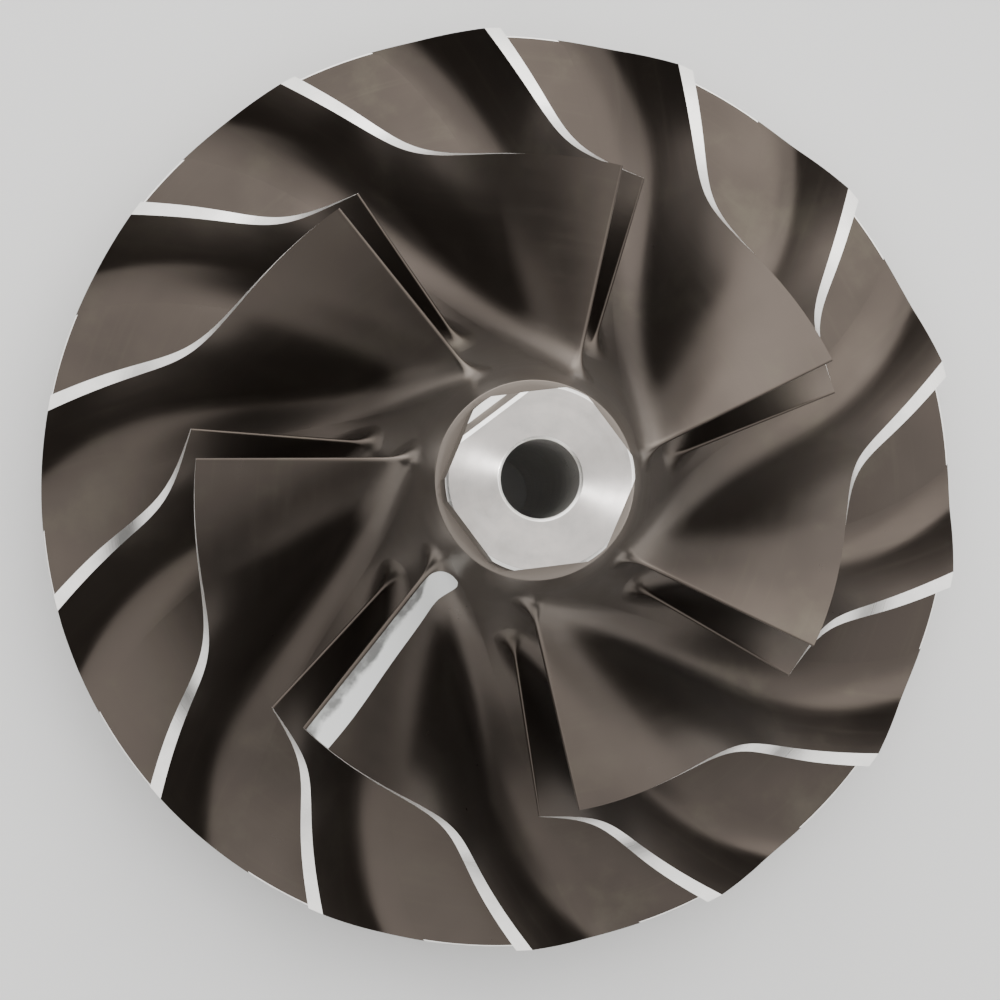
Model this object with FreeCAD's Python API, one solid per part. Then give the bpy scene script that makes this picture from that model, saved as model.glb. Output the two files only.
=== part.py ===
import FreeCAD, Part
import math
import os

"""Compressor wheel of a turbocharger, milled and turned from one aluminium forging.

The bore is on the Z axis, the resting back face is at z = 0 and the nose points to +Z.
Seen from the nose the wheel turns clockwise: each blade leads at its inlet edge and
sweeps back anticlockwise to the rim.
"""

# Body of revolution
exducer_diameter = 83.0        # outside of the disc and of the blade ends
overall_height = 45.3          # back face to nose face
disc_front_height = 8.0        # front face of the disc at the rim, above the back face
rim_thickness = 1.3            # edge of the disc
back_boss_diameter = 24.0      # flat ring on the back that seats on the shaft's shoulder
back_boss_step = 1.2           # how far that ring stands proud of the disc's back
bore_diameter = 6.65
bore_chamfer = 0.27
hub_inlet_diameter = 19.6      # where the nose's cone runs into the hub's arc
back_flat_diameter = 66.0      # inside of the flat ring on the disc's back

# Nose with its six flats
ledge_diameter = 17.0          # outside of the ledge under the nose
nose_diameter = 16.0           # over the corners that the flats leave
nose_face_diameter = 15.4
nose_crown = 0.3               # height of the cone between the nose's side and its face
flats_across = 14.7
flats_depth = 4.9              # from the nose face down to the ledge under the flats
flats_turn = 7.0               # one flat faces this many degrees past the Y axis

# Balance cut ground off one corner of the nose
balance_turn = 127.0
balance_reach = 6.76           # from the axis to the cut's edge on the nose face
balance_slope = 56.0           # steepness of the cut in degrees
balance_lip = 0.35             # width of the narrow first pass beside it
balance_lip_slope = 30.0

# Blades
blade_pairs = 7                # one full and one splitter blade in each pair
first_blade_turn = 124.84      # the first full blade's inlet tip, from +X
splitter_turn = -26.6          # splitter surface, from its full blade's
inducer_diameter = 56.9        # turned diameter over the full blades at the inlet
inlet_drop = 10.9              # nose face down to the full blades' inlet edges
splitter_drop = 7.3            # full blades' inlet edges down to the splitters'
exit_width = 6.0               # blade height at the rim
shroud_fullness = (0.68, 0.74) # handles of the turned contour over the blades
contour_lead = 1.6             # how far hub arc and contour begin above the inlet edges

# Camber of the blades in degrees: angles round the axis, and blade angles off the meridian
tip_wrap = 44.7                # the tip's run round the axis from inlet to exit
tip_middle = 31.7
tip_inlet_angle = 61.0
tip_exit_angle = 34.5
hub_lead = -7.0                # the hub end of the inlet edge, from the tip
hub_wrap_end = 53.3            # the hub's exit, from the tip's inlet
hub_middle = 36.0
hub_inlet_angle = 32.4
hub_exit_angle = 38.0

# Blade sections
tip_thickness = 0.88
root_thickness = 1.5
edge_thinning = 0.30           # thickness at the inlet edge, as a share of the full thickness
root_fillet = 1.7              # how far the root fillet reaches up the blade and out on the hub
edge_fillet_share = 0.35       # the fillet's reach at the inlet edge, as a share of the rest

# Working allowances of the model
stations = 11                  # sections along a blade
overrun = 1.6                  # how far raw blades pass the turned contour
root_sink = 0.75               # how far raw blades dip into the hub
fillet_dip = 0.06              # how far the fillet's toe dips under the hub's surface
fillet_flats = 3               # narrow flats that make the fillet's curve

rim_radius = exducer_diameter / 2
inducer_radius = inducer_diameter / 2
bore_radius = bore_diameter / 2
ledge_radius = ledge_diameter / 2
nose_radius = nose_diameter / 2
disc_back_height = disc_front_height - rim_thickness
inlet_level = overall_height - inlet_drop
splitter_level = inlet_level - splitter_drop
contour_start = inlet_level + contour_lead
ledge_level = overall_height - flats_depth
Z = FreeCAD.Vector(0, 0, 1)
ORIGIN = FreeCAD.Vector(0, 0, 0)


def bezier(values, s):
    """Value at s of the Bezier curve of any degree through the given control values."""
    degree = len(values) - 1
    return sum(math.comb(degree, i) * (1 - s) ** (degree - i) * s ** i * value
               for i, value in enumerate(values))


def hub_arc():
    """Centre, radius and end angles of the hub's arc, tangent to the cone above it."""
    start = (hub_inlet_diameter / 2, contour_start)
    slope = math.atan2(start[0] - ledge_radius, ledge_level - contour_start)
    inward = (math.cos(slope), math.sin(slope))
    across = rim_radius - start[0]
    down = disc_front_height - start[1]
    radius = (across ** 2 + down ** 2) / (2 * (across * inward[0] + down * inward[1]))
    centre = (start[0] + radius * inward[0], start[1] + radius * inward[1])
    angles = [math.atan2(end[1] - centre[1], end[0] - centre[0]) % (2 * math.pi)
              for end in (start, (rim_radius, disc_front_height))]
    return centre, radius, angles


def hub_contour(s):
    """Radius and height of the hub at s, which runs from 0 above the inlet to 1 at the rim."""
    centre, radius, (first, last) = hub_arc()
    angle = first + (last - first) * s
    return centre[0] + radius * math.cos(angle), centre[1] + radius * math.sin(angle)


def shroud_poles():
    """Control points (radius, height) of the contour turned over the blades."""
    start_share, end_share = shroud_fullness
    exit_level = disc_front_height + exit_width
    drop = start_share * (contour_start - exit_level)
    return [(inducer_radius, contour_start),
            (inducer_radius, contour_start - drop),
            (rim_radius - end_share * (rim_radius - inducer_radius), exit_level),
            (rim_radius, exit_level)]


def shroud_contour(s):
    """Radius and height of the contour over the blades, from 0 above the inlet to 1."""
    return tuple(bezier(values, s) for values in zip(*shroud_poles()))


def station_at_height(contour, height):
    """Where a contour that falls from its start to the rim passes a height."""
    low, high = 0.0, 1.0
    for _ in range(40):
        middle = (low + high) / 2
        if contour(middle)[1] > height:
            low = middle
        else:
            high = middle
    return low


class CamberLine:
    """Line that a blade follows along the hub or along the contour over the blades."""

    def __init__(self, contour, turns, angles):
        """Take the turns (start, middle, end) and the two blade angles, in degrees."""
        self.contour = contour
        self.inlet = station_at_height(contour, inlet_level)
        start, middle, end = turns
        ends = []
        for s, angle in ((self.inlet, angles[0]), (1.0, angles[1])):
            step = 0.001
            run = math.dist(contour(s), contour(s + step)) / step * (1 - self.inlet)
            ends.append(math.degrees(run * math.tan(math.radians(angle)) / contour(s)[0] / 4))
        self.turns = [start, start + ends[0], middle, end - ends[1], end]

    def point(self, s):
        """Point of the line at station s of its contour."""
        radius, height = self.contour(s)
        turn = math.radians(bezier(self.turns, (s - self.inlet) / (1 - self.inlet)))
        return FreeCAD.Vector(radius * math.cos(turn), radius * math.sin(turn), height)

    def direction(self, s):
        """Unit vector along the line, from inlet to exit."""
        step = 0.001
        return (self.point(s + step) - self.point(s - step)).normalize()


def point(radius, height):
    """Point of the XZ half plane that the profiles are drawn in."""
    return FreeCAD.Vector(radius, 0, height)


def hub_edge():
    """The hub's arc as an edge."""
    return Part.Arc(*[point(*hub_contour(s)) for s in (0, 0.5, 1)]).toShape()


def shroud_edge():
    """The contour over the blades as an edge."""
    line = Part.BezierCurve()
    line.setPoles([point(*pole) for pole in shroud_poles()])
    return line.toShape()


def turned(edges):
    """Solid made by turning a closed profile of edges about the axis."""
    profile = Part.Face(Part.Wire(Part.__sortEdges__(edges)))
    return profile.revolve(ORIGIN, Z, 360)


def chain(corners):
    """Straight edges through a run of (radius, height) corners."""
    return [Part.makeLine(point(*a), point(*b)) for a, b in zip(corners, corners[1:])]


def flow_body():
    """Inside of the hub's arc, from the top of the arc down to the disc's front at the rim."""
    rest = chain([(rim_radius, disc_front_height), (0, disc_front_height), (0, contour_start),
                  (hub_inlet_diameter / 2, contour_start)])
    return turned([hub_edge()] + rest).toNurbs()


def hub_blank():
    """Hub and disc with the bore, before the flats and the balance cut."""
    disc = turned(chain([(0, disc_front_height), (rim_radius, disc_front_height),
                         (rim_radius, disc_back_height),
                         (back_flat_diameter / 2, disc_back_height),
                         (back_boss_diameter / 2, back_boss_step),
                         (back_boss_diameter / 2, 0), (0, 0), (0, disc_front_height)]))
    nose = turned(chain([(0, contour_start), (hub_inlet_diameter / 2, contour_start),
                         (ledge_radius, ledge_level), (nose_radius, ledge_level),
                         (nose_radius, overall_height - nose_crown),
                         (nose_face_diameter / 2, overall_height), (0, overall_height),
                         (0, contour_start)]))
    mouth = bore_radius + bore_chamfer
    bore = turned(chain([(0, 0), (mouth, 0), (bore_radius, bore_chamfer),
                         (bore_radius, overall_height - bore_chamfer),
                         (mouth, overall_height), (0, overall_height), (0, 0)]))
    bored = [part.cut(bore) for part in (flow_body(), disc, nose)]
    return bored[0].fuse(bored[1:])


def seat():
    """The hub's front surface run on past the rim, which the blade roots are fitted to."""
    outside = rim_radius + 4 * overrun
    rest = chain([(rim_radius, disc_front_height), (outside, disc_front_height), (outside, 0),
                  (0, 0), (0, overall_height), (ledge_radius, overall_height),
                  (ledge_radius, ledge_level), (hub_inlet_diameter / 2, contour_start)])
    return turned([hub_edge()] + rest)


def casing():
    """Everything outside the turned contour of the blades and the outside diameter."""
    outside = rim_radius + 4 * overrun
    top = overall_height + overrun
    rest = chain([(rim_radius, disc_front_height + exit_width), (rim_radius, 0), (outside, 0),
                  (outside, top), (inducer_radius, top), (inducer_radius, contour_start)])
    return turned([shroud_edge()] + rest)


def on_seat(surface, start, along):
    """Where the line through a point, along the blade's height, meets the hub's surface."""
    reach = 5 * root_fillet
    line = Part.makeLine(start - along * reach, start + along * reach)
    inside = line.common(surface)
    return max((vertex.Point for vertex in inside.Vertexes), key=lambda p: p.dot(along))


def fillet_corners(shoulder, corner, toe):
    """Points down a root fillet, from the blade's side to the hub."""
    steps = [i / fillet_flats for i in range(fillet_flats + 1)]
    return [shoulder * (1 - t) ** 2 + corner * (2 * t * (1 - t)) + toe * t ** 2 for t in steps]


def section(surface, foot, tip, across, thickness, fillet):
    """Closed wire of one flat section: blade, root fillets and the part sunk in the hub."""
    along = (tip - foot).normalize()
    root, top = thickness
    sides = []
    for side in (1, -1):
        crown = tip + across * (side * top / 2) + along * overrun
        corner = on_seat(surface, foot + across * (side * root / 2), along)
        shoulder = corner + (crown - corner).normalize() * fillet
        toe = on_seat(surface, corner + across * (side * fillet), along) - along * fillet_dip
        sides.append([crown] + fillet_corners(shoulder, corner, toe) + [toe - along * root_sink])
    corners = sides[0] + sides[1][::-1]
    return Part.makePolygon(corners + corners[:1])


class Camber:
    """Camber surface of a blade: straight lines from a hub line to a tip line."""

    def __init__(self, start_height):
        """Start the surface where the contours pass a height above the back face."""
        self.hub = CamberLine(hub_contour, (hub_lead, hub_middle, hub_wrap_end),
                              (hub_inlet_angle, hub_exit_angle))
        self.tip = CamberLine(shroud_contour, (0.0, tip_middle, tip_wrap),
                              (tip_inlet_angle, tip_exit_angle))
        self.starts = [station_at_height(line.contour, start_height)
                       for line in (self.hub, self.tip)]

    def frame(self, u):
        """Foot, tip and thickness direction of the straight line at u from 0 to 1."""
        at_hub, at_tip = [start + (1 - start) * u for start in self.starts]
        foot = self.hub.point(at_hub)
        tip = self.tip.point(at_tip)
        flow = self.hub.direction(at_hub) + self.tip.direction(at_tip)
        return foot, tip, flow.cross(tip - foot).normalize()


def thickness_at(u):
    """Root and tip thickness at u along the blade, thinner towards the inlet edge."""
    share = 1 - (1 - edge_thinning) * (1 - min(u, 1)) ** 10
    return root_thickness * share, tip_thickness * share


def fillet_at(u):
    """Reach of the root fillet at u along the blade, which runs out at the inlet edge."""
    return root_fillet * (1 - (1 - edge_fillet_share) * (1 - min(u, 1)) ** 8)


def raw_blade(camber, surface):
    """Blade with its root fillets, before the contour is turned."""
    wires = []
    for i in range(stations):
        u = i / (stations - 1) * (1 + overrun / rim_radius)
        foot, tip, across = camber.frame(u)
        wires.append(section(surface, foot, tip, across, thickness_at(u), fillet_at(u)))
    return Part.makeLoft(wires, True, False)


def hex_cutter():
    """What the six flats take off the nose above the ledge."""
    height = flats_depth + overrun
    ring = Part.makeCylinder(nose_diameter, height, point(0, ledge_level), Z)
    corner_radius = flats_across / math.sqrt(3)
    corners = [FreeCAD.Vector(corner_radius * math.cos(math.radians(turn)),
                              corner_radius * math.sin(math.radians(turn)), ledge_level)
               for turn in range(0, 361, 60)]
    prism = Part.Face(Part.makePolygon(corners)).extrude(Z * height)
    prism.rotate(ORIGIN, Z, flats_turn)
    return ring.cut(prism)


def slope_cutter(reach, slope):
    """Block that grinds the nose's corner away outside a sloping plane."""
    size = nose_diameter
    block = Part.makeBox(size, size, size, FreeCAD.Vector(-size / 2, -size / 2, 0))
    tilt = FreeCAD.Rotation(FreeCAD.Vector(0, 1, 0), slope)
    spin = FreeCAD.Rotation(Z, balance_turn)
    place = spin.multVec(point(reach, overall_height))
    block.Placement = FreeCAD.Placement(place, spin.multiply(tilt))
    return block


def finished_blade(start_height):
    """One blade, turned to the contour."""
    return raw_blade(Camber(start_height), seat()).cut(casing())


def turned_copy(shape, turn):
    """Copy of a shape, turned about the axis by an angle in degrees."""
    copy = shape.copy()
    copy.rotate(ORIGIN, Z, turn)
    return copy


def wheel():
    """The whole wheel as one solid."""
    hub = hub_blank().cut(hex_cutter())
    hub = hub.cut(slope_cutter(balance_reach, balance_slope))
    hub = hub.cut(slope_cutter(balance_reach - balance_lip, balance_lip_slope))
    full = finished_blade(inlet_level)
    splitter = finished_blade(splitter_level)
    blades = []
    for i in range(blade_pairs):
        turn = first_blade_turn + i * 360 / blade_pairs
        blades.append(turned_copy(full, turn))
        blades.append(turned_copy(splitter, turn + splitter_turn))
    return hub.fuse(blades)


def main():
    """Build the wheel and write it."""
    os.makedirs("parts", exist_ok=True)
    solid = wheel().Solids[0]
    solid.exportStep("parts/compressor_wheel.step")


main()
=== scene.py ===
import logging
import math
from dataclasses import dataclass, field
from enum import Enum
from typing import Any, Callable, Iterable, Sequence

import bmesh
import bpy
import numpy as np
from mathutils import Matrix, Vector

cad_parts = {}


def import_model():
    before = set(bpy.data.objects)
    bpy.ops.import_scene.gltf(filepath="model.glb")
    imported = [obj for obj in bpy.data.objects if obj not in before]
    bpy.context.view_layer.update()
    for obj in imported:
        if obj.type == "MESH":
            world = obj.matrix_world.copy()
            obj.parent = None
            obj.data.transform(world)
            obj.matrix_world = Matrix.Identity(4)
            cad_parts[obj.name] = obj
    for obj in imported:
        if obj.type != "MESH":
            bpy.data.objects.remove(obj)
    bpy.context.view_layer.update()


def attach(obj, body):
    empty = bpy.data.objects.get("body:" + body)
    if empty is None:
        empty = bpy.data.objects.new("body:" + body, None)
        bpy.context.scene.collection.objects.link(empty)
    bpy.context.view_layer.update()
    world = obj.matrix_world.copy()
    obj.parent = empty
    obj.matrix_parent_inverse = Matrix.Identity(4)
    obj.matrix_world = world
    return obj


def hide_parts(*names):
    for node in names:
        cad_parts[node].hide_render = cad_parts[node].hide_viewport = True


"""Dresses the compressor wheel: turned hub, milled full and splitter blades, studio and camera.

Sizes in the classes are in millimetres and degrees, as on the maker's drawing. Meshes are
written in metres in the frame of the CAD model: bore on Z, resting back face at z = 0.
"""

LOG = logging.getLogger("compressor_wheel")
MM = 0.001
NODE = "compressor_wheel"
BODY = "root"


# --------------------------------------------------------------------------- node helpers


class Term:
    """A number inside a node tree that ordinary arithmetic can be written with."""

    def __init__(self, graph: "Graph", socket: bpy.types.NodeSocket) -> None:
        """Wrap an output socket of a node in a graph."""
        self.graph = graph
        self.socket = socket

    def _math(self, operation: str, *values: Any) -> "Term":
        """Add one Math node.

        Args:
            operation: Name of the Math node's operation.
            values: Terms or plain numbers, in the order of the node's inputs.

        Returns:
            The node's result as a new term.
        """
        node = self.graph.tree.nodes.new("ShaderNodeMath")
        node.operation = operation
        for slot, value in enumerate(values):
            if isinstance(value, Term):
                self.graph.tree.links.new(value.socket, node.inputs[slot])
            else:
                node.inputs[slot].default_value = float(value)
        return Term(self.graph, node.outputs[0])

    def __add__(self, other: Any) -> "Term":
        """Sum."""
        return self._math("ADD", self, other)

    def __radd__(self, other: Any) -> "Term":
        """Sum, with the plain number first."""
        return self._math("ADD", other, self)

    def __sub__(self, other: Any) -> "Term":
        """Difference."""
        return self._math("SUBTRACT", self, other)

    def __rsub__(self, other: Any) -> "Term":
        """Difference, with the plain number first."""
        return self._math("SUBTRACT", other, self)

    def __mul__(self, other: Any) -> "Term":
        """Product."""
        return self._math("MULTIPLY", self, other)

    def __rmul__(self, other: Any) -> "Term":
        """Product, with the plain number first."""
        return self._math("MULTIPLY", other, self)

    def __truediv__(self, other: Any) -> "Term":
        """Quotient."""
        return self._math("DIVIDE", self, other)

    def __rtruediv__(self, other: Any) -> "Term":
        """Quotient, with the plain number first."""
        return self._math("DIVIDE", other, self)

    def __pow__(self, other: Any) -> "Term":
        """Power."""
        return self._math("POWER", self, other)

    def __rpow__(self, other: Any) -> "Term":
        """Power, with the plain number as the base."""
        return self._math("POWER", other, self)

    def sine(self) -> "Term":
        """Sine of the number in radians."""
        return self._math("SINE", self)

    def cosine(self) -> "Term":
        """Cosine of the number in radians."""
        return self._math("COSINE", self)

    def floored(self) -> "Term":
        """Largest whole number that isn't above this one."""
        return self._math("FLOOR", self)

    def modulo(self, other: Any) -> "Term":
        """Remainder of a division by a positive number."""
        return self._math("FLOORED_MODULO", self, other)

    def between(self, low: float, high: float) -> "Term":
        """Smooth rise from zero at low to one at high."""
        span = self.graph.node("ShaderNodeMapRange", {"interpolation_type": "SMOOTHSTEP"},
                               {"Value": self, "From Min": low, "From Max": high})
        return Term(self.graph, span.outputs["Result"])


class Graph:
    """A node tree that is being written."""

    def __init__(self, tree: bpy.types.NodeTree) -> None:
        """Write into a shader tree or a geometry tree."""
        self.tree = tree

    def node(self, kind: str, settings: dict[str, Any] | None = None,
             sockets: dict[Any, Any] | None = None) -> bpy.types.Node:
        """Add any node that isn't a Math node.

        Args:
            kind: Blender's name for the node's type.
            settings: Node properties, set before the sockets because they change them.
            sockets: Value, Term or output socket for each input, by its name or number.

        Returns:
            The new node.
        """
        node = self.tree.nodes.new(kind)
        for name, value in (settings or {}).items():
            setattr(node, name, value)
        for key, value in (sockets or {}).items():
            self.feed(node.inputs[key], value)
        return node

    def feed(self, target: bpy.types.NodeSocket, value: Any) -> None:
        """Link a term or a socket into an input, or set a plain value there."""
        if isinstance(value, Term):
            self.tree.links.new(value.socket, target)
        elif isinstance(value, bpy.types.NodeSocket):
            self.tree.links.new(value, target)
        else:
            target.default_value = value

    def term(self, socket: bpy.types.NodeSocket) -> Term:
        """An output socket as a term."""
        return Term(self, socket)

    def mix(self, factor: Any, first: Any, second: Any) -> bpy.types.NodeSocket:
        """Blend two colours.

        Args:
            factor: Share of the second colour, as a term or number.
            first: Colour tuple or socket.
            second: Colour tuple or socket.

        Returns:
            The blended colour's socket.
        """
        node = self.node("ShaderNodeMix", {"data_type": "RGBA"},
                         {0: factor, 6: first, 7: second})
        return node.outputs[2]

    def noise(self, vector: Any, scale: float, detail: float = 3.0,
              roughness: float = 0.55) -> Term:
        """Soft cloudy pattern from zero to one.

        Args:
            vector: Socket with the coordinates.
            scale: Repeats in a metre.
            detail: Octaves of the pattern.
            roughness: Weight of the fine octaves.

        Returns:
            The pattern as a term.
        """
        node = self.node("ShaderNodeTexNoise", None,
                         {"Vector": vector, "Scale": scale, "Detail": detail,
                          "Roughness": roughness})
        return self.term(node.outputs[0])


# --------------------------------------------------------------------------- finishes


def rgb(red: float, green: float, blue: float) -> tuple[float, float, float, float]:
    """Opaque linear colour."""
    return (red, green, blue, 1.0)


class Coordinates:
    """Object coordinates, with the radius and height worked out from them."""

    def __init__(self, graph: Graph) -> None:
        """Read the coordinates of the piece that the material is on."""
        source = graph.node("ShaderNodeTexCoord")
        self.vector = source.outputs["Object"]
        parts = graph.node("ShaderNodeSeparateXYZ", None, {0: self.vector})
        x, y, z = (graph.term(parts.outputs[i]) for i in range(3))
        self.height = z
        self.radius = (x * x + y * y) ** 0.5


class Finish:
    """A metal finish: a named material built from one Principled shader."""

    name = "finish"

    def graph(self) -> tuple[bpy.types.Material, Graph, bpy.types.Node]:
        """Start the material.

        Returns:
            The material, its graph and its Principled shader.
        """
        material = bpy.data.materials.new(self.name)
        material.use_nodes = True
        graph = Graph(material.node_tree)
        shader = material.node_tree.nodes["Principled BSDF"]
        return material, graph, shader

    def build(self) -> bpy.types.Material:
        """Make the material."""
        raise NotImplementedError


@dataclass(frozen=True)
class SmokedMilling(Finish):
    """Dark semi-gloss film on the milled flanks and hub, with clouds, smears, fine grain and a
    painted reflection that lightens it near the axis.
    """

    name: str = "smoked_milling"
    clean: tuple = rgb(0.089, 0.073, 0.062)
    sooty: tuple = rgb(0.060, 0.049, 0.042)
    olive: tuple = rgb(0.106, 0.095, 0.073)
    # Lighter film colour and the radii it fades over: a painted reflection round the nose's
    # foot, not wear.
    painted_sheen: tuple = rgb(0.188, 0.165, 0.145)
    painted_sheen_radii: tuple[float, float] = (9.0, 15.0)
    roughness: float = 0.31
    metal_share: float = 0.87
    grain_depth: float = 0.004
    cloud_scale: float = 34.0
    smudge_scale: float = 150.0
    grain_scale: float = 2200.0
    smear_scales: tuple[float, float] = (60.0, 900.0)
    painted_sheen_edge_drift: float = 0.002
    painted_sheen_cover: float = 0.8

    def build(self) -> bpy.types.Material:
        """Make the film: cloudy colour, gloss smeared along the flow, fine grain, and a painted
        reflection lightening it near the axis.

        Returns:
            The finished material.
        """
        material, graph, shader = self.graph()
        place = Coordinates(graph)
        clouds = graph.noise(place.vector, self.cloud_scale, 4.0)
        smudges = graph.noise(place.vector, self.smudge_scale, 5.0, 0.6)
        grain = graph.noise(place.vector, self.grain_scale, 2.0)
        ways = graph.node("ShaderNodeUVMap", {"uv_map": "flow"})
        split = graph.node("ShaderNodeSeparateXYZ", None, {0: ways.outputs[0]})
        along, up = graph.term(split.outputs[0]), graph.term(split.outputs[1])
        drawn = graph.node("ShaderNodeCombineXYZ", None,
                           {0: along * self.smear_scales[0], 1: up * self.smear_scales[1]})
        smears = graph.noise(drawn.outputs[0], 1.0, 3.0)
        film = graph.mix(clouds.between(0.36, 0.66), self.clean, self.sooty)
        worn = smudges.between(0.50, 0.76) * 0.4 + smears.between(0.52, 0.80) * 0.2
        film = graph.mix(worn, film, self.olive)
        # Painted reflection: inside these radii the film turns lighter round the nose's foot,
        # standing in for the brighter reflection there.
        low, high = (radius * MM for radius in self.painted_sheen_radii)
        painted_sheen_edge = place.radius + (smudges - 0.5) * self.painted_sheen_edge_drift
        painted_sheen = (1.0 - painted_sheen_edge.between(low, high)) * self.painted_sheen_cover
        graph.feed(shader.inputs["Base Color"], graph.mix(painted_sheen, film, self.painted_sheen))
        shader.inputs["Metallic"].default_value = self.metal_share
        gloss = (self.roughness + (smudges - 0.5) * 0.10 + (smears - 0.5) * 0.10
                 + (grain - 0.5) * 0.04)
        graph.feed(shader.inputs["Roughness"], gloss)
        bump = graph.node("ShaderNodeBump", None,
                          {"Strength": 0.35, "Distance": self.grain_depth * MM,
                           "Height": grain + smears * 0.5})
        graph.feed(shader.inputs["Normal"], bump.outputs[0])
        return material


@dataclass(frozen=True)
class TurnedMetal(Finish):
    """Bare aluminium off the lathe: bright, with fine rings about the axis."""

    name: str = "turned_metal"
    bright: tuple = rgb(0.96, 0.94, 0.91)
    dull: tuple = rgb(0.84, 0.825, 0.80)
    roughness: float = 0.30
    ring_pitch: float = 0.16
    ring_depth: float = 0.004
    strength: float = 0.5
    streaking: float = 0.35
    streak_turn: float = 0.25
    mottle_scale: float = 420.0
    tool_scale: float = 9000.0

    def build(self) -> bpy.types.Material:
        """Make the turned metal.

        Returns:
            The finished material.
        """
        material, graph, shader = self.graph()
        place = Coordinates(graph)
        mottle = graph.noise(place.vector, self.mottle_scale, 4.0, 0.6)
        ring = graph.node("ShaderNodeCombineXYZ", None,
                          {0: place.radius * self.tool_scale,
                           1: place.height * self.tool_scale})
        tool = graph.noise(ring.outputs[0], 1.0, 2.0)
        tone = graph.mix(mottle.between(0.35, 0.75), self.bright, self.dull)
        graph.feed(shader.inputs["Base Color"], tone)
        shader.inputs["Metallic"].default_value = 1.0
        shader.inputs["Anisotropic"].default_value = self.streaking
        shader.inputs["Anisotropic Rotation"].default_value = self.streak_turn
        gloss = self.roughness + (tool - 0.5) * 0.16 + (mottle - 0.5) * 0.08
        graph.feed(shader.inputs["Roughness"], gloss)
        rings = ((place.radius + place.height) * (2 * math.pi / (self.ring_pitch * MM))).sine()
        bump = graph.node("ShaderNodeBump", None,
                          {"Strength": self.strength, "Distance": self.ring_depth * MM,
                           "Height": rings * 0.5 + tool})
        graph.feed(shader.inputs["Normal"], bump.outputs[0])
        return material


@dataclass(frozen=True)
class FacedMetal(TurnedMetal):
    """The faced end of the nose, whose rings spread reflections into bright rays."""

    name: str = "faced_metal"
    bright: tuple = rgb(0.60, 0.565, 0.54)
    dull: tuple = rgb(0.52, 0.495, 0.475)
    roughness: float = 0.50
    ring_pitch: float = 0.12
    ring_depth: float = 0.002
    strength: float = 0.4
    streaking: float = 0.97


@dataclass(frozen=True)
class PenPaint(Finish):
    """White paint-pen stroke, thin and streaky along one side."""

    name: str = "pen_paint"
    white: tuple = rgb(0.80, 0.81, 0.80)
    thin: tuple = rgb(0.50, 0.51, 0.50)
    worn: tuple = rgb(0.27, 0.27, 0.265)
    patch_scale: float = 520.0
    drift_scale: float = 150.0
    relief: float = 0.02

    def build(self) -> bpy.types.Material:
        """Make the paint: full on one side of the stroke, patchy on the other.

        Returns:
            The finished material.
        """
        material, graph, shader = self.graph()
        place = Coordinates(graph)
        ways = graph.node("ShaderNodeUVMap", {"uv_map": "flow"})
        split = graph.node("ShaderNodeSeparateXYZ", None, {0: ways.outputs[0]})
        across, down = graph.term(split.outputs[0]), graph.term(split.outputs[1])
        patches = graph.noise(place.vector, self.patch_scale, 3.0, 0.6)
        drift = graph.noise(place.vector, self.drift_scale, 2.0)
        edge = across + (patches - 0.5) * 0.42 + (drift - 0.5) * 0.5 + down.between(0.78, 1.0)
        cover = edge.between(0.26, 0.50)
        tone = graph.mix(cover, graph.mix(patches.between(0.40, 0.62), self.worn, self.thin),
                         self.white)
        graph.feed(shader.inputs["Base Color"], tone)
        graph.feed(shader.inputs["Metallic"], (1.0 - cover) * 0.6)
        graph.feed(shader.inputs["Roughness"], 0.42 + (patches - 0.5) * 0.2)
        bump = graph.node("ShaderNodeBump", None,
                          {"Strength": 0.3, "Distance": self.relief * MM,
                           "Height": patches})
        graph.feed(shader.inputs["Normal"], bump.outputs[0])
        return material


@dataclass(frozen=True)
class PaleFloor(Finish):
    """Matt pale board under the wheel."""

    name: str = "pale_floor"
    light: tuple = rgb(0.80, 0.80, 0.80)
    shade: tuple = rgb(0.775, 0.775, 0.775)

    def build(self) -> bpy.types.Material:
        """Make the board.

        Returns:
            The finished material.
        """
        material, graph, shader = self.graph()
        place = Coordinates(graph)
        clouds = graph.noise(place.vector, 9.0, 2.0)
        graph.feed(shader.inputs["Base Color"], graph.mix(clouds, self.light, self.shade))
        shader.inputs["Roughness"].default_value = 0.75
        shader.inputs["Specular IOR Level"].default_value = 0.2
        return material


class Surface(Enum):
    """Where on the wheel a face lies, which decides its finish."""

    FLANK = 0
    TURNED = 1
    FACE = 2
    PAINT = 3


class Finishes:
    """The wheel's materials, each built once."""

    def __init__(self) -> None:
        """Build the material of every surface."""
        self.by_surface: dict[Surface, bpy.types.Material] = {
            Surface.FLANK: SmokedMilling().build(),
            Surface.TURNED: TurnedMetal().build(),
            Surface.FACE: FacedMetal().build(),
            Surface.PAINT: PenPaint().build(),
        }


# --------------------------------------------------------------------------- flow path


def bezier(values: Sequence[float], s: np.ndarray) -> np.ndarray:
    """Value of a Bezier curve.

    Args:
        values: Control values, of any count.
        s: Places on the curve, 0 at its start and 1 at its end.

    Returns:
        The curve's value at each place.
    """
    degree = len(values) - 1
    s = np.asarray(s, dtype=float)
    return sum(math.comb(degree, i) * (1 - s) ** (degree - i) * s ** i * value
               for i, value in enumerate(values))


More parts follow.
